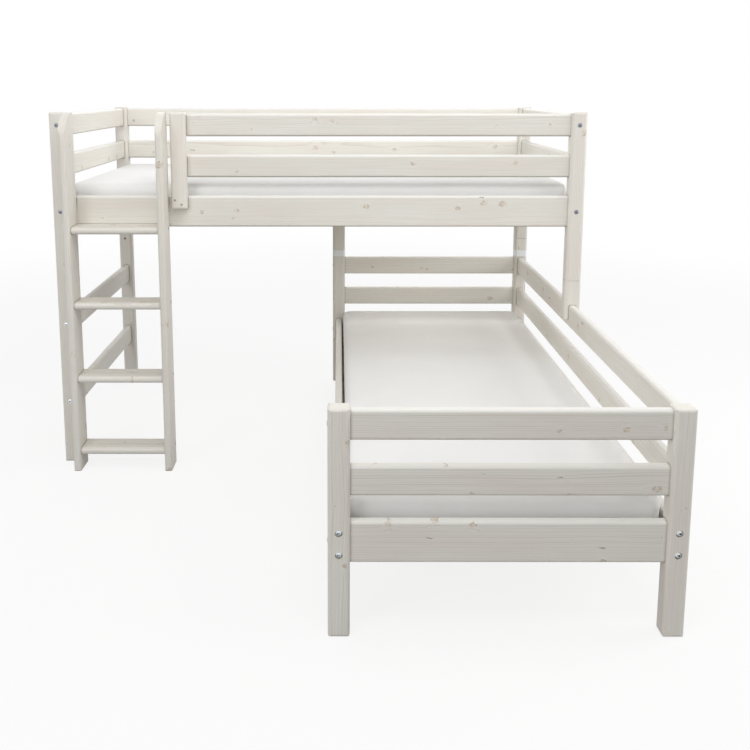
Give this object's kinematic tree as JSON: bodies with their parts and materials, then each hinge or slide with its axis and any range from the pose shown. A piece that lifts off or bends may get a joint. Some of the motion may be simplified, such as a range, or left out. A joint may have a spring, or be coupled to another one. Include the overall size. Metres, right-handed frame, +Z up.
{
  "type": "l shaped bunk bed",
  "caption": "L-shaped bunk bed in whitewashed pine: a low single bed under one end of a crosswise mid-high bed with guard rails and a vertical ladder.",
  "frame": {"origin": "on the floor, below the middle of the outline seen from above", "axes": "+Z up; -Y is the front, where the low bed's foot end and the ladder face; +X to the right seen from the front"},
  "size_m": [2.1022, 2.1022, 1.434],
  "materials": {
    "whitewashed_pine": "translucent white wash on solid knotty pine, satin",
    "plain_pine": "planed untreated pine",
    "dowel_wood": "fluted beech dowel",
    "mattress_cover": "white knitted cotton cover",
    "connector_plastic": "pale grey moulded plastic",
    "galvanised_steel": "zinc plated"
  },
  "bodies": {
    "frame": {"low_foot_left_post": "whitewashed_pine", "low_foot_right_post": "whitewashed_pine", "low_head_left_post": "whitewashed_pine", "low_head_right_post": "whitewashed_pine", "low_foot_top_slat": "whitewashed_pine", "low_foot_middle_slat": "whitewashed_pine", "low_foot_board": "whitewashed_pine", "low_head_top_slat": "whitewashed_pine", "low_head_middle_slat": "whitewashed_pine", "low_head_board": "whitewashed_pine", "low_left_side_rail": "whitewashed_pine", "low_right_side_rail": "whitewashed_pine", "low_back_top_rail": "whitewashed_pine", "low_back_middle_rail": "whitewashed_pine", "low_left_cleat": "plain_pine", "low_right_cleat": "plain_pine", "low_base_slats": "plain_pine", "high_left_front_post": "whitewashed_pine", "high_left_rear_post": "whitewashed_pine", "high_right_front_post": "whitewashed_pine", "high_right_rear_post": "whitewashed_pine", "high_left_top_slat": "whitewashed_pine", "high_left_middle_slat": "whitewashed_pine", "high_left_board": "whitewashed_pine", "high_left_upper_brace": "whitewashed_pine", "high_left_lower_brace": "whitewashed_pine", "high_right_top_slat": "whitewashed_pine", "high_right_middle_slat": "whitewashed_pine", "high_right_board": "whitewashed_pine", "high_front_side_rail": "whitewashed_pine", "high_rear_side_rail": "whitewashed_pine", "high_front_cleat": "plain_pine", "high_rear_cleat": "plain_pine", "high_base_slats": "plain_pine", "guard_front_top_slat": "whitewashed_pine", "guard_front_lower_slat": "whitewashed_pine", "guard_stile": "whitewashed_pine", "guard_rear_top_slat": "whitewashed_pine", "guard_rear_lower_slat": "whitewashed_pine", "saddle_leg": "whitewashed_pine", "rear_right_extension": "whitewashed_pine", "rear_middle_leg": "whitewashed_pine", "rear_right_connector": "connector_plastic", "rear_middle_connector": "connector_plastic", "ladder_left_stringer": "whitewashed_pine", "ladder_right_stringer": "whitewashed_pine", "ladder_step_1": "whitewashed_pine", "ladder_step_2": "whitewashed_pine", "ladder_step_3": "whitewashed_pine", "ladder_step_4": "whitewashed_pine", "gable_bolts": "galvanised_steel", "rail_bolts": "galvanised_steel", "barrel_nuts": "galvanised_steel", "dowels": "dowel_wood", "joining_pins": "galvanised_steel", "ladder_screws": "galvanised_steel", "stile_screws": "galvanised_steel", "base_screws": "galvanised_steel"},
    "low_mattress": {"low_mattress": "mattress_cover"},
    "high_mattress": {"high_mattress": "mattress_cover"}
  },
  "joints": [
    {"name": "low_mattress_lift", "type": "slide", "parent": "frame", "child": "low_mattress", "axis": [0, 0, 1], "range_m": [0, 0.2]},
    {"name": "high_mattress_lift", "type": "slide", "parent": "frame", "child": "high_mattress", "axis": [0, 0, 1], "range_m": [0, 0.42]}
  ]
}
